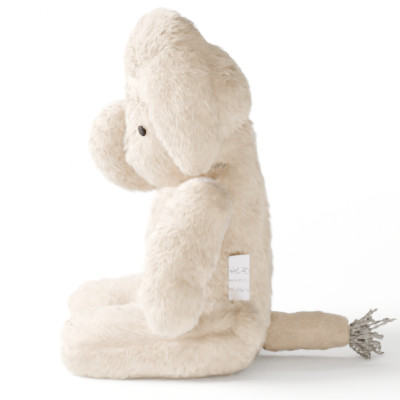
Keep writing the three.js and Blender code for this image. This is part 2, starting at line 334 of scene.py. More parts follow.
def label_material():
    """Woven satin with three rows of small stitched marks that spell nothing."""
    material, shader, surface = new_material("label_satin", Roughness=0.42, Sheen_Weight=0.2)
    place = shader.node("ShaderNodeSeparateXYZ", None, {0: shader.place()}, "Z")
    marks = None
    for height, half, scale in LABEL_ROWS:
        off = shader.node("ShaderNodeMath", {"operation": "ABSOLUTE"}, {0: place - height})
        row = shader.node("ShaderNodeMath", {"operation": "LESS_THAN"}, {0: off, 1: half})
        stitch = shader.remap(shader.noise(scale, 0.0), 0.49, 0.53)
        marks = row * stitch if marks is None else marks + row * stitch
    weave = shader.noise(WEAVE_GRAIN, 1.0)
    satin = shader.blend(weave, LABEL_SHADE, LABEL_WHITE)
    feed(surface, "Base Color", shader.blend(LABEL_INK_SHARE * marks, satin, LABEL_INK))
    return material


satin = label_material()
print("materials", len(bpy.data.materials))

# %% [markdown]
# ## Meshes as arrays
# A cover has tens of thousands of points, and a Python loop over them is slow. These helpers read
# a whole mesh into arrays, in millimetres, so that one line can move every point.

# %% Meshes as arrays
def mesh_arrays(obj):
    """Corner places, unit normals and triangles of a mesh, in millimetres."""
    mesh = obj.data
    mesh.calc_loop_triangles()
    places = np.empty(len(mesh.vertices) * 3)
    mesh.vertices.foreach_get("co", places)
    normals = np.empty(len(mesh.vertices) * 3)
    mesh.vertices.foreach_get("normal", normals)
    triangles = np.empty(len(mesh.loop_triangles) * 3, dtype=np.int64)
    mesh.loop_triangles.foreach_get("vertices", triangles)
    return places.reshape(-1, 3) / MM, normals.reshape(-1, 3), triangles.reshape(-1, 3)


def unit(vectors):
    length = np.linalg.norm(vectors, axis=-1, keepdims=True)
    return vectors / np.maximum(length, 1e-9)


def only(obj):
    bpy.ops.object.select_all(action="DESELECT")
    obj.select_set(True)
    bpy.context.view_layer.objects.active = obj

# %% [markdown]
# ## Welding the panels
# A sewn part is pulled tight by its stuffing, so its panels meet in one rounded skin. Copies of
# the CAD panels and the core are joined, and a voxel remesh welds them into one closed skin.
# Sculpting could do the same, but a remesh with a smooth modifier keeps the exact size of the
# part and takes one step.

# %% Welding the panels
def weld_nodes(name, nodes, voxel=2.6, rounds=14, extra=()):
    """One closed, smooth skin around copies of the named CAD nodes and any extra forms."""
    copies = []
    for node in nodes:
        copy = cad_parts[node].copy()
        copy.data = copy.data.copy()
        copy.parent = None
        bpy.context.scene.collection.objects.link(copy)
        copies.append(copy)
    copies.extend(extra)
    bpy.ops.object.select_all(action="DESELECT")
    for copy in copies:
        copy.select_set(True)
    bpy.context.view_layer.objects.active = copies[0]
    if len(copies) > 1:
        bpy.ops.object.join()
    cover = bpy.context.view_layer.objects.active
    cover.name = name
    cover.data.name = name
    bpy.ops.object.mode_set(mode="EDIT")
    bpy.ops.mesh.select_all(action="SELECT")
    bpy.ops.mesh.remove_doubles(threshold=0.00001)
    bpy.ops.object.mode_set(mode="OBJECT")
    remesh = cover.modifiers.new("weld", "REMESH")
    remesh.mode = "VOXEL"
    remesh.voxel_size = voxel * MM
    bpy.ops.object.modifier_apply(modifier="weld")
    smooth = cover.modifiers.new("round", "SMOOTH")
    smooth.factor = 0.5
    smooth.iterations = rounds
    bpy.ops.object.modifier_apply(modifier="round")
    return cover

# %% [markdown]
# ## Extra forms
# Where two parts meet, real plush is filled out by its stuffing. Round forms welded into a cover
# close such gaps. A ball is quickest to place and to change.

# %% Extra forms
def add_ball(place, radii):
    """A round form, in millimetres, to weld into a cover."""
    bpy.ops.object.select_all(action="DESELECT")
    bpy.ops.mesh.primitive_uv_sphere_add(segments=32, ring_count=20, radius=1)
    ball = bpy.context.object
    ball.scale = [radius * MM for radius in radii]
    ball.location = [coordinate * MM for coordinate in place]
    bpy.ops.object.transform_apply(location=True, scale=True)
    return ball

# %% [markdown]
# ## Shaping a cover
# Hand stuffing leaves soft lumps, and a seam pulls a furrow into the fur. Both are offsets along
# the normal, given as a function of the place, so they can be added up before the pile grows.

# %% Shaping a cover
FLOOR_CLEARANCE = 0.25


def displace(cover, shift):
    """Moves each point of a cover along its normal by `shift(places)` millimetres."""
    places, normals, _ = mesh_arrays(cover)
    moved = places + normals * shift(places)[:, None]
    moved[:, 2] = np.maximum(moved[:, 2], FLOOR_CLEARANCE)
    moved *= MM
    cover.data.vertices.foreach_set("co", moved.astype(np.float32).ravel())
    cover.data.update()


def lumps(seed, height=1.3, size=36.0):
    """The soft unevenness of a hand-stuffed part."""
    return lambda places: smooth_noise(places, size, np.random.default_rng(seed))[:, 0] * height * 2


def groove(distance, depth=2.0, half_width=3.5):
    """The furrow that a seam pulls into the surface, where `distance` is nought."""
    return -depth * np.exp(-((distance / half_width) ** 2))

# %% [markdown]
# ## Cover outside its core
# Smoothing shrinks a cover a little, and then the white stuffing would show through. Every point
# that comes too near the CAD core is pushed out again along the core's normal.

# %% Cover outside its core
def surface_tree(obj):
    """A mesh's surface, to find the nearest or the first point on it."""
    places = [vertex.co.copy() for vertex in obj.data.vertices]
    return BVHTree.FromPolygons(places, [face.vertices[:] for face in obj.data.polygons])


def keep_outside(cover, core, gap=1.0):
    """Pushes a cover out wherever it comes closer than `gap` millimetres to the CAD core in it."""
    tree = surface_tree(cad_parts[core])
    for vertex in cover.data.vertices:
        near, normal, _, _ = tree.find_nearest(vertex.co)
        depth = (vertex.co - near).dot(normal)
        if depth < gap * MM:
            vertex.co += normal * (gap * MM - depth)
    cover.data.update()

# %% [markdown]
# ## Soft randomness
# Pile, lumps and shades all vary slowly over the toy. Noise textures can't be read back into
# arrays, so a sum of a few waves in random directions gives smooth numbers at any place.

# %% Soft randomness
def smooth_noise(places, scale, rng):
    """Three soft random numbers for each place, as a sum of a few waves about `scale` mm long."""
    total = np.zeros((len(places), 3))
    for _ in range(6):
        wave = rng.normal(size=(3, 3)) * (2 * math.pi / scale) * 0.6
        total += np.sin(places @ wave + rng.uniform(0, 2 * math.pi, 3))
    return total / 6

# %% [markdown]
# ## Where strands start
# Particle hair would not survive an export, so the strands are mesh. Their roots are scattered
# over the triangles of the cover, each triangle getting its share by area, which gives an even
# pile.

# %% Where strands start
def triangle_areas(places, triangles):
    corners = places[triangles]
    edges = corners[:, 1] - corners[:, 0], corners[:, 2] - corners[:, 0]
    return np.linalg.norm(np.cross(*edges), axis=1) / 2


def scatter(places, normals, triangles, count, rng):
    corners = places[triangles]
    area = triangle_areas(places, triangles)
    chosen = rng.choice(len(triangles), size=count, p=area / area.sum())
    a = rng.random(count)
    b = rng.random(count)
    flip = a + b > 1
    a[flip], b[flip] = 1 - a[flip], 1 - b[flip]
    weights = np.stack([1 - a - b, a, b], axis=1)[:, :, None]
    roots = (corners[chosen] * weights).sum(axis=1)
    facing = unit((normals[triangles[chosen]] * weights).sum(axis=1))
    return roots, facing, area.sum()

# %% [markdown]
# ## The shape of a strand
# A strand is a thin spike with three sides. The undercoat can be straight, as only its tips show.
# The top coat bends once in the middle, which is enough to catch the light like hair at a tenth
# of the faces of a real curve.

# %% The shape of a strand
BENT_FACES = np.array([
    (0, 1, 4), (0, 4, 3), (1, 2, 5), (1, 5, 4), (2, 0, 3), (2, 3, 5),
    (3, 4, 6), (4, 5, 6), (5, 3, 6), (0, 2, 1),
])
STRAIGHT_FACES = np.array([(0, 1, 3), (1, 2, 3), (2, 0, 3), (0, 2, 1)])
ROOT_DEPTH = 0.4
UPPER_TAPER = 0.7
MIDDLE_PULL = 0.3


def strand_ring(centres, run, facing, half):
    """Three corners round each centre, across the way the strand runs."""
    across = unit(np.cross(run, facing))
    outwards = unit(np.cross(across, run))
    turns = [(1.0, 0.0), (-0.5, -0.87), (-0.5, 0.87)]
    return [centres + (a * across + b * outwards) * half for a, b in turns]


def straight_strands(roots, facing, low, high, size, half, pull):
    tips = roots + (low + high) * 0.5 * size[:, None] + pull
    ring = strand_ring(roots - facing * ROOT_DEPTH, low, facing, half[:, None])
    corners = np.stack(ring + [tips], axis=1)
    return corners, STRAIGHT_FACES, np.array([0, 0, 0, 1.0])


def bent_strands(roots, facing, low, high, size, half, pull):
    middle = roots + low * size[:, None] * 0.5
    tips = middle + high * size[:, None] * 0.5 + pull
    middle = middle + pull * MIDDLE_PULL
    ring = strand_ring(roots - facing * ROOT_DEPTH, low, facing, half[:, None])
    upper = strand_ring(middle, low + high, facing, half[:, None] * UPPER_TAPER)
    corners = np.stack(ring + upper + [tips], axis=1)
    return corners, BENT_FACES, np.array([0, 0, 0, 0.5, 0.5, 0.5, 1.0])

# %% [markdown]
# ## Locks
# Fur never stands as single hairs. Neighbours cling together into locks with one shared tip. A
# few strands are picked as the middles of locks, and every other strand leans its tip towards the
# nearest one.

# %% Locks
LOCK_SHARE = 0.035
LOCK_PULL = (0.25, 0.7)


def gather_locks(roots, low, high, size, rng):
    """How far each strand's tip leans towards the tip of its lock's middle strand."""
    count = len(roots)
    middles = rng.choice(count, size=max(1, int(count * LOCK_SHARE)), replace=False)
    tree = KDTree(len(middles))
    for index, middle in enumerate(middles):
        tree.insert(roots[middle], index)
    tree.balance()
    nearest = middles[np.array([tree.find(root)[1] for root in roots])]
    tips = roots + (low + high) * 0.5 * size[:, None]
    pull = rng.uniform(*LOCK_PULL, count)[:, None] * rng.uniform(0.4, 1.0, count)[nearest][:, None]
    return (tips[nearest] - tips) * pull

# %% [markdown]
# ## Combing
# The nap of each panel runs one way, and handling stirs it. The comb function of a part gives the
# way the nap lies. Slow swirls and some jitter are added to it, and the strands are then tilted
# over, more at the upper half than at the lower.

# %% Combing
SIZE_RANGE = (0.75, 1.15)
SWIRL_SIZES = {7: 14.0, 8: 40.0}
NAP_JITTER = 0.22
RISE_SEED = 9
RISE_SIZE = 10.0
RISE_DEGREES = 16
TILT_JITTER = 8
LOW_TILT = 0.7
HIGH_TILT = 1.3


def spread_pile(cover, comb, rng, density, length, lean, keep=None, trim=None, wave=0.6):
    """Where each strand starts, how its lower and upper halves run, and how long it is."""
    places, normals, triangles = mesh_arrays(cover)
    share = 1
    count = int(triangle_areas(places, triangles).sum() * density * share)
    roots, facing, area = scatter(places, normals, triangles, count, rng)
    if keep is not None:
        held = keep(roots, facing)
        roots, facing = roots[held], facing[held]
    count = len(roots)
    size = length * rng.uniform(*SIZE_RANGE, count)
    if trim is not None:
        size = size * trim(roots)
    swirl = np.zeros((count, 3))
    for seed, scale in SWIRL_SIZES.items():
        swirl += smooth_noise(roots, scale, np.random.default_rng(seed)) * wave
    nap = unit(comb(roots, facing)) + swirl + rng.normal(size=(count, 3)) * NAP_JITTER
    nap = unit(nap - (nap * facing).sum(axis=1, keepdims=True) * facing)
    rise = smooth_noise(roots, RISE_SIZE, np.random.default_rng(RISE_SEED))[:, 0] * RISE_DEGREES
    tilt = np.radians(lean + rise + rng.normal(size=count) * TILT_JITTER)[:, None]
    low = facing * np.cos(tilt * LOW_TILT) + nap * np.sin(tilt * LOW_TILT)
    high = facing * np.cos(tilt * HIGH_TILT) + nap * np.sin(tilt * HIGH_TILT)
    return roots, facing, low, high, size, area

# %% [markdown]
# ## A mesh from arrays
# Half a million faces are too many to add one by one. The arrays go into a new mesh at once. Each
# strand gets the normal of the cloth below it, so that the fur shades as one soft surface, and a
# small chart in the UV layer tells a baked colour apart by lock and by height along the strand.

# %% A mesh from arrays
CHART_STEP = 0.004
CHART_EDGE = 0.03
CHART_SPAN = 0.94


def fill_mesh(obj, places, faces, normals, attributes):
    """Gives obj a new triangle mesh with its shading normals and number attributes."""
    old = obj.data
    mesh = bpy.data.meshes.new(obj.name)
    mesh.vertices.add(len(places))
    mesh.vertices.foreach_set("co", places.astype(np.float32).ravel())
    mesh.loops.add(len(faces) * 3)
    mesh.loops.foreach_set("vertex_index", faces.astype(np.int32).ravel())
    mesh.polygons.add(len(faces))
    mesh.polygons.foreach_set("loop_start", np.arange(0, len(faces) * 3, 3, dtype=np.int32))
    mesh.update(calc_edges=True)
    mesh.polygons.foreach_set("use_smooth", np.ones(len(faces), dtype=bool))
    for name, values in attributes.items():
        layer = mesh.attributes.new(name, "FLOAT", "POINT")
        layer.data.foreach_set("value", values.astype(np.float32))
    if "lock" in attributes:
        chart = mesh.uv_layers.new(name="OFBake")
        corners = faces.astype(np.int64).ravel()
        sideways = np.tile([-CHART_STEP, 0.0, CHART_STEP], len(faces))
        across = CHART_EDGE + CHART_SPAN * attributes["lock"][corners] + sideways
        upwards = np.tile([0.0, CHART_STEP, 0.0], len(faces))
        along = CHART_EDGE + CHART_SPAN * attributes["pile"][corners] + upwards
        chart.data.foreach_set("uv", np.stack([across, along], axis=1).astype(np.float32).ravel())
    mesh.normals_split_custom_set_from_vertices(normals.astype(np.float32))
    obj.data = mesh
    bpy.data.meshes.remove(old)

# %% [markdown]
# ## Growing the pile
# Plush has a dense undercoat that hides the backing and a thinner, longer top coat. The cover
# itself stays under them as the cloth. Coat after coat is built, shaded and coloured, and all of
# it becomes one mesh that replaces the bare cover.

# %% Growing the pile
CLOTH_LOCK = 0.6
UNDER_LENGTH = 0.82
WIDTH_RANGE = (0.75, 1.25)
PATCH_SEED = 5
PATCH_SIZE = 45.0
LOCK_MIDDLE = 0.24
LOCK_SWING = 1.35
LOCK_JITTER = 0.2
NORMAL_JITTER = 0.12


def grow_pile(
    cover, comb, seed=1, length=9.0, lean=50, width=0.5, under=0.98, top=0.3, painted_shade=None, **limits
):
    """Turns a cover into a piece with its pile: an undercoat and a longer, bent top coat."""
    rng = np.random.default_rng(seed)
    places, normals, triangles = mesh_arrays(cover)
    parts = [(places, triangles, normals, np.zeros(len(places)), np.full(len(places), CLOTH_LOCK))]
    widen = 1.0
    total = 0
    for build, density, share in ((straight_strands, under, UNDER_LENGTH), (bent_strands, top, 1.0)):
        roots, facing, low, high, size, area = spread_pile(
            cover, comb, rng, density, length * share, lean, **limits
        )
        count = len(roots)
        half = width * widen / 2 * rng.uniform(*WIDTH_RANGE, count)
        pull = gather_locks(roots, low, high, size, rng)
        corners, faces, pile = build(roots, facing, low, high, size, half, pull)
        corners[:, :, 2] = np.maximum(corners[:, :, 2], FLOOR_CLEARANCE)
        patch = smooth_noise(roots, PATCH_SIZE, np.random.default_rng(PATCH_SEED))[:, 0]
        lock = LOCK_MIDDLE + LOCK_SWING * patch + rng.normal(size=count) * LOCK_JITTER
        # Painted shade: along seams and creases `lock` is raised, so the pile turns warmer and darker there.
        if painted_shade is not None:
            lock = lock + painted_shade(roots)
        lock = np.clip(lock, 0, 1)
        shade = unit(facing + NORMAL_JITTER * rng.normal(size=(count, 3)))
        each = corners.shape[1]
        parts.append((
            corners.reshape(-1, 3),
            (faces[None] + (np.arange(count) * each)[:, None, None]).reshape(-1, 3),
            np.repeat(shade, each, axis=0),
            np.tile(pile, count),
            np.repeat(lock, each),
        ))
        total += count
    starts = np.cumsum([0] + [len(part[0]) for part in parts])
    fill_mesh(
        cover,
        np.concatenate([part[0] for part in parts]) * MM,
        np.concatenate([part[1] + start for part, start in zip(parts, starts)]),
        np.concatenate([part[2] for part in parts]),
        {
            "pile": np.concatenate([part[3] for part in parts]),
            "lock": np.concatenate([part[4] for part in parts]),
        },
    )
    print(f"{cover.name}: {total} strands on {area / 100:.0f} cm2, {len(cover.data.polygons)} faces")
    return cover

# %% [markdown]
# ## Dressing a piece
# Every finished part gets its material, the CAD panels that it stands for are hidden, and it is
# attached to the body that carries it. One helper does this for all of them, so no part can forget
# one. Left and right parts are the same, so they are built in a loop over both sides.


def dress(obj, material, slot, body, *nodes):
    """Material, slot (not used), body and the CAD nodes that a padded piece stands for."""
    obj.data.materials.clear()
    obj.data.materials.append(material)
    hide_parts(*nodes)
    if body:
        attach(obj, body)
    return obj


def flow(*direction):
    """A comb that lies the same way everywhere."""
    return lambda roots, facing: np.tile(np.array(direction, dtype=float), (len(roots), 1))


SIDES = {"left": 1, "right": -1}


def mirrored_left(roots):
    """The same places with those of the right side moved over to the left."""
    return roots * np.where(roots[:, :1] < 0, (-1, 1, 1), (1, 1, 1))

# %% [markdown]
# ## Combing the head
# The head is a high dome. Its pile runs up the face and back over the crown, and from the brow
# downwards it lies down the cheeks. Along the seam where each ear is sewn to the crown, shade is
# painted into the pile as a warmer colour. The pile is clipped short round the eyes so that they
# can be seen.

# %% Combing the head
EYE = np.array([37, -75.0, 219.5])
BROW_Z = 228.0
BROW_FADE = 30.0
HEAD_CENTRE = np.array([0, -40, 236.0])
EYE_CLEAR = 4.0
EYE_SHORT = 12.0
EAR_SEAM_AT = np.array([38.0, -44.0, 281.0])
EAR_SEAM_REACH = np.array([30.0, 20.0, 24.0])
# How strongly shade is painted along the seam where each ear meets the crown.
EAR_SEAM_PAINTED_SHADE = 0.8


def head_comb(roots, facing):
    """Up the face, back over the crown, and down the cheeks and the back of the head."""
    away = roots - HEAD_CENTRE
    over = np.stack([0 * away[:, 0], away[:, 2], -away[:, 1]], axis=1)
    down = np.tile(np.array([0, 0.5, -1.0]), (len(roots), 1))
    share = np.clip((roots[:, 2] - BROW_Z) / BROW_FADE, 0, 1)[:, None]
    return unit(over) * share + down * (1 - share)


def eye_distance(roots):
    return np.linalg.norm(mirrored_left(roots) - EYE, axis=1)


def head_trim(roots):
    """The pile is clipped short round the eyes."""
    return np.clip((eye_distance(roots) - 3.0) / EYE_SHORT, 0.0, 1.0) * 0.6 + 0.4


def ear_seam_painted_shade(roots):
    """Painted shade: a warmer colour in the pile along the crease where each ear is sewn to the crown."""
    away = np.linalg.norm((mirrored_left(roots) - EAR_SEAM_AT) / EAR_SEAM_REACH, axis=1)
    return EAR_SEAM_PAINTED_SHADE * np.exp(-(away ** 2))


def head_keep(roots, facing):
    return eye_distance(roots) > EYE_CLEAR

# %% [markdown]
# ## The head
# Two fur panels and the stuffing make the head, with one seam over the middle. Much smoothing
# rounds it, since the stuffing is firm here. Its bare surface is kept aside, to lay stitches on
# it later.

# %% The head
head_nodes = ("head_skin_left", "head_skin_right", "head_stuffing")
head = weld_nodes("head_plush", head_nodes, voxel=2.5, rounds=26)
displace(head, lumps(31, height=1.6))
displace(head, lambda places: groove(places[:, 0], depth=1.4))
keep_outside(head, "head_stuffing")
neck_covers = [surface_tree(head)]
# Shade is painted into the pile along the seam of each ear.
grow_pile(head, head_comb, seed=11, painted_shade=ear_seam_painted_shade, trim=head_trim, keep=head_keep)
dress(head, fur, "plush_fur", "head", *head_nodes[:2])

# %% [markdown]
# ## The trunk
# The trunk hangs in front of the face and curls in under the chin. Its nap follows that curl, so
# the comb turns round the middle of the curl. The welded panels get a shallow groove for the seam
# down the front.

# %% The trunk
CURL = np.array([0, -80.0, 203.0])


def trunk_comb(roots, facing):
    away = roots - CURL
    round_curl = np.stack([0 * away[:, 0], -away[:, 2], away[:, 1]], axis=1)
    return unit(round_curl) + np.array([0, 0.55, 0])


trunk_nodes = ("trunk_skin_left", "trunk_skin_right", "trunk_stuffing")
trunk = weld_nodes("trunk_plush", trunk_nodes, voxel=2.2, rounds=10)
displace(trunk, lambda places: groove(places[:, 0], depth=1.2))
keep_outside(trunk, "trunk_stuffing")
grow_pile(trunk, trunk_comb, seed=12)
dress(trunk, fur, "plush_fur", "trunk", *trunk_nodes[:2])

# %% [markdown]
# ## The ears
# An ear is two panels of fur without stuffing, sewn on at the top of the head. It starts high on
# the crown and hangs flat against the head. The flat panels of the frame would stand off as a
# plate, so the upper part is bent inwards, and the fur of the head runs over the seam.

# %% The ears
EAR_TOP_Z = 292.0
EAR_BEND = 50.0
EAR_LEAN_IN = 14.0
EAR_TUCK = 4.5


def sew_on_top(ear, side):
    """Bends the top of an ear in against the crown that it is sewn to."""
    places, _, _ = mesh_arrays(ear)
    rise = np.clip((places[:, 2] - EAR_TOP_Z + EAR_BEND) / EAR_BEND, 0, 1.2)
    places[:, 0] -= side * (EAR_LEAN_IN * rise ** 2 + EAR_TUCK)
    ear.data.vertices.foreach_set("co", (places * MM).astype(np.float32).ravel())
    ear.data.update()


for name, side in SIDES.items():
    ear_nodes = (f"ear_outer_panel_{name}", f"ear_inner_panel_{name}")
    ear = weld_nodes(f"ear_plush_{name}", ear_nodes, voxel=2.0, rounds=6)
    sew_on_top(ear, side)
    displace(ear, lumps(33 + side, height=0.8, size=26.0))
    # The top of each ear gets the same painted shade along its seam.
    grow_pile(ear, flow(0, 0.1, -1), seed=13 + side, lean=64, painted_shade=ear_seam_painted_shade)
    dress(ear, fur, "plush_fur", f"ear_{name}", *ear_nodes)

# %% [markdown]
# ## Combing the body
# The body is a tall cushion, with its nap running down and towards the back. Near the hand
# stitches of the neck the pile is pulled short, and a warmer colour paints the shade of the gap
# between head and body there. Over the hips it is left long, because it hides the edge where a leg
# meets the body. Inside the head there is no pile at all.

# %% Combing the body
STITCH_AT = np.array([34.0, -9.0, 187.0])
STITCH_REACH = 9.0
HIP_EDGE_AT = np.array([46.0, 5.0, 66.0])
HIP_EDGE_REACH = np.array([30.0, 26.0, 14.0])
HIP_SHAG_ABOVE = 0.8
STITCH_TRIM = 0.55
# How strongly shade is painted at the neck stitches.
STITCH_PAINTED_SHADE = 1.1
NECK_INSIDE_AT = np.array([0, -37.0, 236.0])
NECK_INSIDE_RADII = np.array([48.0, 53.0, 53.0])


def neck_nearness(roots):
    """1 at the hand stitches on either side of the neck, and nought away from them."""
    distance = np.linalg.norm((mirrored_left(roots) - STITCH_AT) * (0.6, 1, 1), axis=1)
    return np.exp(-((distance / STITCH_REACH) ** 2))


def body_trim(roots):
    hip = np.linalg.norm((mirrored_left(roots) - HIP_EDGE_AT) / HIP_EDGE_REACH, axis=1)
    return 1 - STITCH_TRIM * neck_nearness(roots) + HIP_SHAG_ABOVE * np.exp(-(hip ** 2))


# Painted shade: a warmer colour at the neck stitches, for the gap between head and body.
def body_painted_shade(roots):
    return STITCH_PAINTED_SHADE * neck_nearness(roots)


def body_keep(roots, facing):
    """No pile where the neck is inside the head."""
    return (((roots - NECK_INSIDE_AT) / NECK_INSIDE_RADII) ** 2).sum(axis=1) > 1

# %% [markdown]
# ## The body
# Front and back panels meet in the two side seams. The neck is filled out by a ball, so that no
# gap opens below the chin when the head nods. Smaller balls fill the body out between and behind
# the legs, as the stuffing does in the real toy.

# %% The body
BODY_SEAM_Y = -1.0
BODY_SEAM_TOP = 150.0
body_nodes = ("body_skin_front", "body_skin_back", "body_stuffing", "pellet_pouch")
NECK_AT = (0, -22, 205)
NECK_RADII = (38, 40, 40)
HIP_FILL_AT = (33, -30, 58)
HIP_FILL_RADII = (14, 14, 12)
HIP_BACK_AT = (49, 12, 43)
HIP_BACK_RADII = (15, 17, 20)
extra = [add_ball(NECK_AT, NECK_RADII)]
for side in SIDES.values():
    extra.append(add_ball((HIP_FILL_AT[0] * side, *HIP_FILL_AT[1:]), HIP_FILL_RADII))
    extra.append(add_ball((HIP_BACK_AT[0] * side, *HIP_BACK_AT[1:]), HIP_BACK_RADII))
body = weld_nodes("body_plush", body_nodes, voxel=3.0, rounds=4, extra=extra)
displace(body, lumps(35, height=1.6))
displace(body, lambda places: groove(places[:, 1] - BODY_SEAM_Y, depth=1.2) * (places[:, 2] < BODY_SEAM_TOP))
keep_outside(body, "body_stuffing")
neck_covers.append(surface_tree(body))
# Shade is painted into the pile at the neck stitches.
grow_pile(body, flow(0, 0.45, -0.9), seed=16, keep=body_keep, trim=body_trim, painted_shade=body_painted_shade)
dress(body, fur, "plush_fur", "torso", *body_nodes[:2])

# %% [markdown]
# ## The arms
# Each arm is a stuffed sausage that hangs from the shoulder, slightly bent, with its nap running
# down to the paw. A ball at the shoulder runs the arm into the body, where the real one is sewn
# flat against it.

# %% The arms
SHOULDER_AT = (47, -18, 149)
SHOULDER_RADII = (15, 17, 18)

for name, side in SIDES.items():
    arm_nodes = (f"arm_skin_outer_{name}", f"arm_skin_inner_{name}", f"arm_stuffing_{name}")
    shoulder = add_ball((SHOULDER_AT[0] * side, *SHOULDER_AT[1:]), SHOULDER_RADII)
    arm = weld_nodes(f"arm_plush_{name}", arm_nodes, voxel=2.5, rounds=10, extra=[shoulder])
    displace(arm, lumps(37 + side, height=1.7, size=30.0))
    keep_outside(arm, f"arm_stuffing_{name}")
    grow_pile(arm, flow(0.15 * side, -0.3, -1), seed=18 + side)
    dress(arm, fur, "plush_fur", f"arm_{name}", *arm_nodes[:2])

# %% [markdown]
# ## Combing the legs
# A leg has a seam along its side, which climbs from the foot to the hip. The nap runs away from
# it on both sides, so the seam reads as a parting, and shade is painted into its crease as a
# warmer colour. Over the hip the pile is long again and lies backwards.

# %% Combing the legs
SEAM_FOOT_Z = 33.0
SEAM_SLOPE = 0.13
FOOT_Y = -106.0
HIP_Y = -8.0
HIP_BULGE = 2.0
HIP_SHAG = 0.7
# How strongly shade is painted into the crease of the side seam.
SEAM_PAINTED_SHADE = 1.2
SEAM_SPREAD = 4.5
SEAM_TRIM = 0.5


def above_seam(places):
    """How far a point lies above the side seam, which climbs towards the hip."""
    return places[:, 2] - (SEAM_FOOT_Z + SEAM_SLOPE * (places[:, 1] - FOOT_Y))


def leg_comb(roots, facing):
    """Away from the seam, forwards on the foot, and backwards over the joint at the hip."""
    lift = np.clip(above_seam(roots) / 6, -1, 1)
    back = np.clip((roots[:, 1] - HIP_Y + 20) / 20, 0, 1) * 1.6 - 0.6
    return np.stack([0 * lift, back, lift], axis=1)


# Painted shade: a warmer colour along the crease of the side seam.
def seam_painted_shade(roots):
    return SEAM_PAINTED_SHADE * np.exp(-((above_seam(roots) / SEAM_SPREAD) ** 2))


def hip_bulge(places):
    """Fills the hip out against the body, where the joint would show a gap."""
    return HIP_BULGE * np.clip((places[:, 1] - HIP_Y + 14) / 14, 0, 1)


def seam_trim(roots):
    """Short pile in the seam, and long pile over the edge where the leg meets the body."""
    hip = np.clip((roots[:, 1] - HIP_Y + 16) / 16, 0, 1) * np.clip(above_seam(roots) / 12, 0, 1)
    return 1 - SEAM_TRIM * np.exp(-((above_seam(roots) / 4.0) ** 2)) + HIP_SHAG * hip

# %% [markdown]
# ## The legs
# The legs point forwards, and the toy sits on them. They are the softest part, so their lumps are
# the largest. The groove of the seam is cut into the cover before the pile grows.

# %% The legs
for name, side in SIDES.items():
    leg_nodes = (f"leg_skin_lower_{name}", f"leg_skin_upper_{name}", f"leg_stuffing_{name}")
    leg = weld_nodes(f"leg_plush_{name}", leg_nodes, voxel=2.5, rounds=8)
    displace(leg, lumps(41 + side, height=2.4, size=32.0))
    displace(leg, hip_bulge)
    displace(leg, lambda places: groove(above_seam(places), depth=2.6))
    keep_outside(leg, f"leg_stuffing_{name}")
    # Shade is painted into the crease of the side seam.
    grow_pile(leg, leg_comb, seed=21 + side, painted_shade=seam_painted_shade, trim=seam_trim)
    dress(leg, fur, "plush_fur", f"leg_{name}", *leg_nodes[:2])

# %% [markdown]
# ## The tail
# The tail is a tube of short pile, wide where it is sewn into the back and narrow at the tassel.
# Short pile shows the form below it, so a cone is welded in for the taper, and the strands are
# short, dense and lie flat.

# %% The tail
TAIL_RADII = (16.0, 11.5)
TAIL_LENGTH = 75.0
TAIL_MIDDLE = (0, 71.5, 24.5)
TAIL_FULLNESS = 1.6
TAIL_PILE = 4.0
tail_nodes = ("tail_skin", "tail_stuffing")
bpy.ops.object.select_all(action="DESELECT")
bpy.ops.mesh.primitive_cone_add(
    vertices=32, radius1=TAIL_RADII[0] * MM, radius2=TAIL_RADII[1] * MM, depth=TAIL_LENGTH * MM,
    location=[coordinate * MM for coordinate in TAIL_MIDDLE], rotation=(-math.pi / 2, 0, 0),
)
root = bpy.context.object
bpy.ops.object.transform_apply(location=True, rotation=True)
tail = weld_nodes("tail_plush", tail_nodes, voxel=2.0, rounds=6, extra=[root])
displace(tail, lambda places: TAIL_FULLNESS + lumps(44, height=0.8, size=22.0)(places))
keep_outside(tail, "tail_stuffing")
grow_pile(tail, flow(0, 1, 0), seed=24, length=TAIL_PILE, lean=62, under=1.6, top=0.6)
dress(tail, short_fur, "short_fur", "tail", *tail_nodes[:1])

# %% [markdown]
# ## The eyes
# A safety eye is a glossy black bead on a stem. A fine sphere is flattened into the bead, and a
# cylinder makes the stem that the washer grips inside the head. The bead tilts to lie flat in the
# fur.

# %% The eyes
EYE_RADIUS = 5.4
EYE_DOME = 3.0
EYE_STEM = (2.0, 12.0)
EYE_PROUD = 0.3
EYE_FACING = Vector((0.45, -0.84, -0.30)).normalized()


def make_eye(name, side):
    bpy.ops.object.select_all(action="DESELECT")
    bpy.ops.mesh.primitive_uv_sphere_add(segments=48, ring_count=24, radius=EYE_RADIUS * MM)
    bead = bpy.context.object
    bead.scale = (1, 1, EYE_DOME / EYE_RADIUS)
    bpy.ops.object.transform_apply(scale=True)
    radius, length = EYE_STEM
    bpy.ops.mesh.primitive_cylinder_add(
        vertices=24, radius=radius * MM, depth=length * MM, location=(0, 0, -length / 2 * MM)
    )
    bead.select_set(True)
    bpy.context.view_layer.objects.active = bead
    bpy.ops.object.join()
    bead.name = f"eye_bead_{name}"
    facing = Vector((EYE_FACING.x * side, EYE_FACING.y, EYE_FACING.z))
    bead.rotation_euler = facing.to_track_quat("Z", "Y").to_euler()
    bead.location = Vector((EYE[0] * side, EYE[1], EYE[2])) * MM + facing * EYE_PROUD * MM
    bpy.ops.object.transform_apply(location=True, rotation=True)
    bpy.ops.object.shade_smooth_by_angle(angle=math.radians(40))
    bead.data.materials.append(eye_black)
    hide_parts(f"eye_{name}")
    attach(bead, "head")
    print(bead.name, len(bead.data.polygons), "faces")


for name, side in SIDES.items():
    make_eye(name, side)

# %% [markdown]
# ## Threads
# The hand stitches and the binding of the tassel are round thread. A curve with a bevel follows
# its path, and converting it gives a closed mesh. This is quicker than sweeping a circle by hand,
# and the caps come with it.

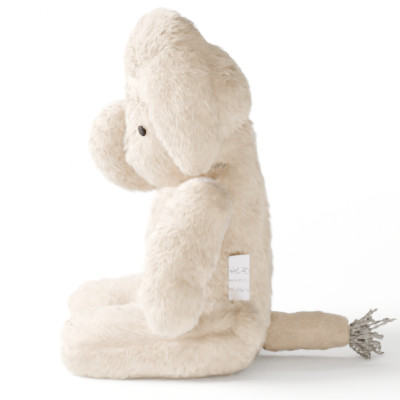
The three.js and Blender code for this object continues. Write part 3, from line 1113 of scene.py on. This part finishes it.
# %% Threads
def thread_mesh(name, paths, radius):
    """Round thread along each path, given in metres, as one mesh."""
    curve = bpy.data.curves.new(name, "CURVE")
    curve.dimensions = "3D"
    curve.bevel_depth = radius * MM
    curve.bevel_resolution = 2
    curve.use_fill_caps = True
    for path in paths:
        spline = curve.splines.new("POLY")
        spline.points.add(len(path) - 1)
        for point, place in zip(spline.points, path):
            point.co = (*place, 1)
    thread = bpy.data.objects.new(name, curve)
    bpy.context.scene.collection.objects.link(thread)
    only(thread)
    bpy.ops.object.convert(target="MESH")
    bpy.ops.object.shade_smooth()
    thread = bpy.context.object
    thread.data.materials.clear()
    thread.data.materials.append(yarn)
    print(name, len(thread.data.polygons), "faces")
    return thread

# %% [markdown]
# ## Hand stitches
# The head is sewn to the body last, by hand, so a few ladder stitches of thin grey thread show on
# either side of the neck. Each is a short arc that rises out of the pile and goes back in. A line
# sent in from the side finds the cloth, and the arc is laid on it.

# %% Hand stitches
STITCH_COUNT = 6
STITCH_THREAD = 0.55
STITCH_STEP = 2.6
STITCH_SPAN = 5.0
STITCH_RISE = 4.4
STITCH_WAVER = 0.8
STITCH_SLANT = 0.9
STITCH_POINTS = 9
OUTSIDE_X = 90.0


def surface_towards(covers, start, side):
    """The first point of any cover that a line along X meets, coming from outside."""
    best = None
    for tree in covers:
        hit = tree.ray_cast(Vector(start) * MM, Vector((-side, 0, 0)))[0]
        if hit is not None and (best is None or hit.x * side > best.x * side):
            best = hit
    return best


def stitch_path(index, side, covers):
    """Points of one stitch, as an arc over the cloth."""
    y = STITCH_AT[1] + (index - STITCH_COUNT / 2) * STITCH_STEP
    z = STITCH_AT[2] + STITCH_WAVER * math.sin(index * 2.1)
    path = []
    for t in np.linspace(0, 1, STITCH_POINTS):
        start = (OUTSIDE_X * side, y + STITCH_SLANT * t, z + STITCH_SPAN * (t - 0.5))
        hit = surface_towards(covers, start, side)
        if hit is not None:
            rise = 0.2 + STITCH_RISE * math.sin(math.pi * t)
            path.append(hit + Vector((side * rise * MM, 0, 0)))
    return path


def make_stitches(name, side, covers):
    paths = [stitch_path(index, side, covers) for index in range(STITCH_COUNT)]
    paths = [path for path in paths if len(path) >= 3]
    stitches = thread_mesh(f"neck_stitches_{name}", paths, STITCH_THREAD)
    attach(stitches, "torso")


for name, side in SIDES.items():
    make_stitches(name, side, neck_covers)

# %% [markdown]
# ## Loose meshes
# The yarn and the label are built from points and faces. Faces written down one by one can point
# either way, so their normals are turned outwards once the mesh is closed.

# %% Loose meshes
def mesh_object(name, places, faces, material):
    mesh = bpy.data.meshes.new(name)
    mesh.from_pydata(places, [], faces)
    obj = bpy.data.objects.new(name, mesh)
    bpy.context.scene.collection.objects.link(obj)
    mesh.materials.append(material)
    only(obj)
    return obj


def face_outwards():
    bpy.ops.object.mode_set(mode="EDIT")
    bpy.ops.mesh.select_all(action="SELECT")
    bpy.ops.mesh.normals_make_consistent(inside=False)
    bpy.ops.object.mode_set(mode="OBJECT")

# %% [markdown]
# ## How the yarn falls
# The tassel is a bundle of yarn with cut ends. Packed at the neck, the ends spread, curl and
# droop. Some hang together in a straight bundle and others fly off. Each end is a path with a few
# random bends that grow towards its tip, kept above the floor.

# %% How the yarn falls
TASSEL_AT = np.array([0, 110.0, 22.0])
YARN_COUNT = 34
YARN_LENGTH = (24.0, 35.0)
PLY_RADIUS = 1.0
PLY_TWIST = 7.5
YARN_NECK = 8.0
YARN_STEPS = 48
YARN_TURN = 2.4
YARN_FLARE = (0.6, 0.45)
YARN_BENDS = (1.1, 2.3)
HANGING = {"lift": -0.42, "sway": 2.2, "droop": 2.0}
FLYING = {"lift": 0.2, "sway": 7.5, "droop": 5.0}
PLY_SIDES = 6


def yarn_path(index, rng):
    """Points of one end of yarn: packed at the neck, then flaring and curling."""
    turn = YARN_TURN * index
    spread = math.sqrt((index + 0.5) / YARN_COUNT)
    length = rng.uniform(*YARN_LENGTH)
    t = np.linspace(0, 1, YARN_STEPS)[:, None]
    start = TASSEL_AT + np.array([math.cos(turn), 0, math.sin(turn)]) * YARN_NECK * spread
    habit = HANGING if index % 5 < 2 else FLYING
    sideways = math.cos(turn) * YARN_FLARE[0] * spread
    upwards = math.sin(turn) * YARN_FLARE[1] * spread + habit["lift"]
    aim = unit(np.array([sideways, 0.95, upwards]))
    path = start + aim * length * t
    path[:, 1] -= (1 - t[:, 0]) ** 2
    squeeze = 1 - 0.15 * np.exp(-(((t - 0.13) / 0.09) ** 2))
    path[:, [0, 2]] = TASSEL_AT[[0, 2]] + (path[:, [0, 2]] - TASSEL_AT[[0, 2]]) * squeeze
    for bends in YARN_BENDS:
        sway = rng.normal(size=3) * habit["sway"] / bends
        path += sway * t * np.sin(t * bends * math.pi + rng.uniform(0, 1.5))
    path[:, 2] -= habit["droop"] * t[:, 0] ** 2
    lowest = PLY_RADIUS * 2 + 0.3
    path[:, 2] = np.maximum(path[:, 2], lowest)
    return path, length

# %% [markdown]
# ## Two plies
# Yarn is two threads twisted round each other, and the twist is what tells it from a wire. A
# curve with a bevel gives only a smooth round tube. So each ply is a tube of its own that winds
# round the path of its end.

# %% Two plies
def ply_tube(path, length, phase, rng):
    """Rings of corners round one ply, closed by a point at either end."""
    along = unit(np.gradient(path, axis=0))
    side = unit(np.cross(along, np.array([0.13, 0.2, 0.97])))
    up = np.cross(side, along)
    angle = np.linspace(0, 1, len(path)) * length / PLY_TWIST * 2 * math.pi + phase
    offset = side * np.cos(angle)[:, None] + up * np.sin(angle)[:, None]
    centre = path + offset * PLY_RADIUS * 0.78
    radius = PLY_RADIUS * (1 + 0.07 * rng.normal(size=len(path)))
    radius[-1] *= 0.55
    rings = []
    for step in range(PLY_SIDES):
        turn = 2 * math.pi * step / PLY_SIDES
        rings.append(centre + (side * math.cos(turn) + up * math.sin(turn)) * radius[:, None])
    corners = np.stack(rings, axis=1).reshape(-1, 3)
    ends = np.stack([centre[0] - along[0] * 0.4, centre[-1] + along[-1] * 0.8])
    faces = []
    for ring in range(len(path) - 1):
        for step in range(PLY_SIDES):
            a = ring * PLY_SIDES + step
            b = ring * PLY_SIDES + (step + 1) % PLY_SIDES
            faces += [(a, b, b + PLY_SIDES), (a, b + PLY_SIDES, a + PLY_SIDES)]
    first, last = len(corners), len(corners) + 1
    base = (len(path) - 1) * PLY_SIDES
    for step in range(PLY_SIDES):
        after = (step + 1) % PLY_SIDES
        faces += [(after, step, first), (base + step, base + after, last)]
    return np.concatenate([corners, ends]), np.array(faces)

# %% [markdown]
# ## The tassel
# All plies go into one mesh, since they are one piece in the hand, and it rides on the tail.

# %% The tassel
def make_tassel():
    rng = np.random.default_rng(61)
    places = []
    faces = []
    start = 0
    for index in range(YARN_COUNT):
        path, length = yarn_path(index, rng)
        for phase in (0.0, math.pi):
            corners, ring_faces = ply_tube(path, length, phase, rng)
            places.append(corners)
            faces.append(ring_faces + start)
            start += len(corners)
    places = (np.concatenate(places) * MM).tolist()
    tassel = mesh_object("tassel_yarn_ends", places, np.concatenate(faces).tolist(), yarn)
    bpy.ops.object.shade_smooth()
    face_outwards()
    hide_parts("tassel_yarn")
    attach(tassel, "tail")
    print("tassel", YARN_COUNT, "ends,", len(tassel.data.polygons), "faces")


make_tassel()

# %% [markdown]
# ## The binding
# A few turns of the same thread hold the neck of the tassel. They are a rising spiral, drawn as a
# curve with a round bevel and turned into a mesh. The radius wavers a little, as turns wound by
# hand do.

# %% The binding
BINDING_TURNS = 5
BINDING_RADIUS = 6.2
THREAD_RADIUS = 0.5
BINDING_AT = (0, 113.0, 22.0)
TURN_STEPS = 28
TURN_WAVER = 0.25


def make_binding():
    steps = BINDING_TURNS * TURN_STEPS
    angle = np.linspace(0, BINDING_TURNS * 2 * math.pi, steps)
    rise = np.linspace(0, BINDING_TURNS * THREAD_RADIUS * 1.7, steps)
    radius = BINDING_RADIUS + TURN_WAVER * np.sin(angle * 0.7)
    path = np.stack([np.cos(angle) * radius, rise, np.sin(angle) * radius], axis=1) + BINDING_AT
    binding = thread_mesh("tassel_binding_thread", [path * MM], THREAD_RADIUS)
    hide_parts("tassel_binding")
    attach(binding, "tail")


make_binding()

# %% [markdown]
# ## The care label
# A strip of woven satin is folded in two, and its cut ends are sewn into the side seam. It is a
# thin sheet that follows the fold, then gets its thickness from Solidify. It could be draped as
# cloth, but so small a label keeps the fold it was pressed with, so its curl is simply written
# down.

# %% The care label
LABEL_LOW, LABEL_HIGH = (np.array(corner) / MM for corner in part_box("care_label"))
LABEL_PLY = 0.3
LABEL_STEPS = (48, 24)

LABEL_FOLD = 0.8
LABEL_CURL = 1.6
LABEL_LIFT = 2.4
LABEL_RIPPLE = 0.35


def make_label():
    wide = LABEL_HIGH[1] - LABEL_LOW[1]
    tall = LABEL_HIGH[2] - LABEL_LOW[2]
    fold = LABEL_FOLD
    run = 2 * (wide - fold) + math.pi * fold
    count, rows = LABEL_STEPS
    corners = []
    faces = []
    for row in range(rows + 1):
        v = row / rows
        for step in range(count + 1):
            along = run * step / count
            if along < wide - fold:
                out, side = along, fold
            elif along > run - (wide - fold):
                out, side = run - along, -fold
            else:
                turn = (along - (wide - fold)) / fold
                out, side = wide - fold + fold * math.sin(turn), fold * math.cos(turn)
            share = out / wide
            curl = LABEL_CURL * share ** 2 + 0.5 * math.sin(2.2 * math.pi * v + 1.0) * share
            x = LABEL_HIGH[0] - 1.0 + side + curl
            y = LABEL_LOW[1] + out
            ripple = LABEL_RIPPLE * math.sin(7 * v)
            z = LABEL_LOW[2] + tall * v + LABEL_LIFT * share * (0.4 + 0.6 * v) + ripple * share
            corners.append((x * MM, y * MM, z * MM))
    for row in range(rows):
        for step in range(count):
            a = row * (count + 1) + step
            faces.append((a, a + 1, a + count + 2, a + count + 1))
    label = mesh_object("care_label_ribbon", corners, faces, satin)
    thick = label.modifiers.new("thickness", "SOLIDIFY")
    thick.thickness = LABEL_PLY * MM
    bpy.ops.object.modifier_apply(modifier="thickness")
    bpy.ops.object.shade_smooth_by_angle(angle=math.radians(40))
    face_outwards()
    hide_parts("care_label")
    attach(label, "torso")
    run * MM
    tall * MM
    print(f"label cut {run:.1f} x {tall:.1f} mm")


make_label()

# %% [markdown]
# ## The filling
# The stuffing cores, the pouch of pellets and the washers keep the shape of the frame, since no
# one sees them. They only get their finishes.

# %% The filling
FILLING = {
    fibre: [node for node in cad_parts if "stuffing" in node],
    cotton: ["pellet_pouch"],
    washer: ["eye_washer_left", "eye_washer_right"],
}
for material, nodes in FILLING.items():
    for node in nodes:
        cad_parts[node].material_slots[0].material = material
print("filling", sum(len(nodes) for nodes in FILLING.values()), "nodes")

# %% [markdown]
# ## The floor
# The toy sits on a plain pale sheet that runs far back, so that no horizon shows. It is staging
# and not part of the object.

# %% The floor
FLOOR_SIZE = 12.0
FLOOR_COLOUR = (0.93, 0.93, 0.925)
bpy.ops.object.select_all(action="DESELECT")
bpy.ops.mesh.primitive_plane_add(size=FLOOR_SIZE, location=(0, 0, 0))
floor = bpy.context.object
floor.name = "floor"
floor_material = new_material("floor", Base_Color=FLOOR_COLOUR, Roughness=0.9)[0]
floor.data.materials.append(floor_material)
